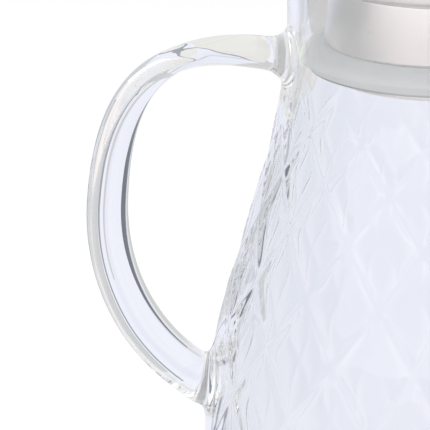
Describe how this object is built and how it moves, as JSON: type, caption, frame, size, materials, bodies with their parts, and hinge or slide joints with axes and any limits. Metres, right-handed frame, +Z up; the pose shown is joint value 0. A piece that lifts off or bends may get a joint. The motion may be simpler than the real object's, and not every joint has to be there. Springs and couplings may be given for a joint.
{
  "type": "glass pitcher with lid",
  "caption": "Clear glass pitcher with a diamond-textured body, a drawn glass handle, a pulled spout and a lift-out steel strainer lid in a silicone ring.",
  "frame": {"origin": "centre of the flat disc under the base", "axes": "+Z up along the jug's axis, handle towards -X, spout towards +X"},
  "size_m": [0.1524, 0.1216, 0.257],
  "materials": {
    "glass": "clear, blown, very slightly lavender",
    "steel": "finely brushed round the axis",
    "silicone": "translucent, matt",
    "knob_steel": "satin",
    "screw_steel": "bright"
  },
  "bodies": {
    "jug": {"glass_body": "glass", "handle": "glass"},
    "seal": {"seal_ring": "silicone"},
    "lid": {"lid_cap": "steel", "pour_drum": "steel", "lid_knob": "knob_steel", "knob_screw": "screw_steel", "knob_washer": "screw_steel"}
  },
  "joints": [
    {"name": "lid_lift", "type": "slide", "parent": "jug", "child": "seal", "axis": [0, 0, 1], "range_m": [0, 0.05]},
    {"name": "lid_turn", "type": "hinge", "parent": "seal", "child": "lid", "pos_m": [0, 0, 0.205], "axis": [0, 0, 1], "continuous": true}
  ]
}
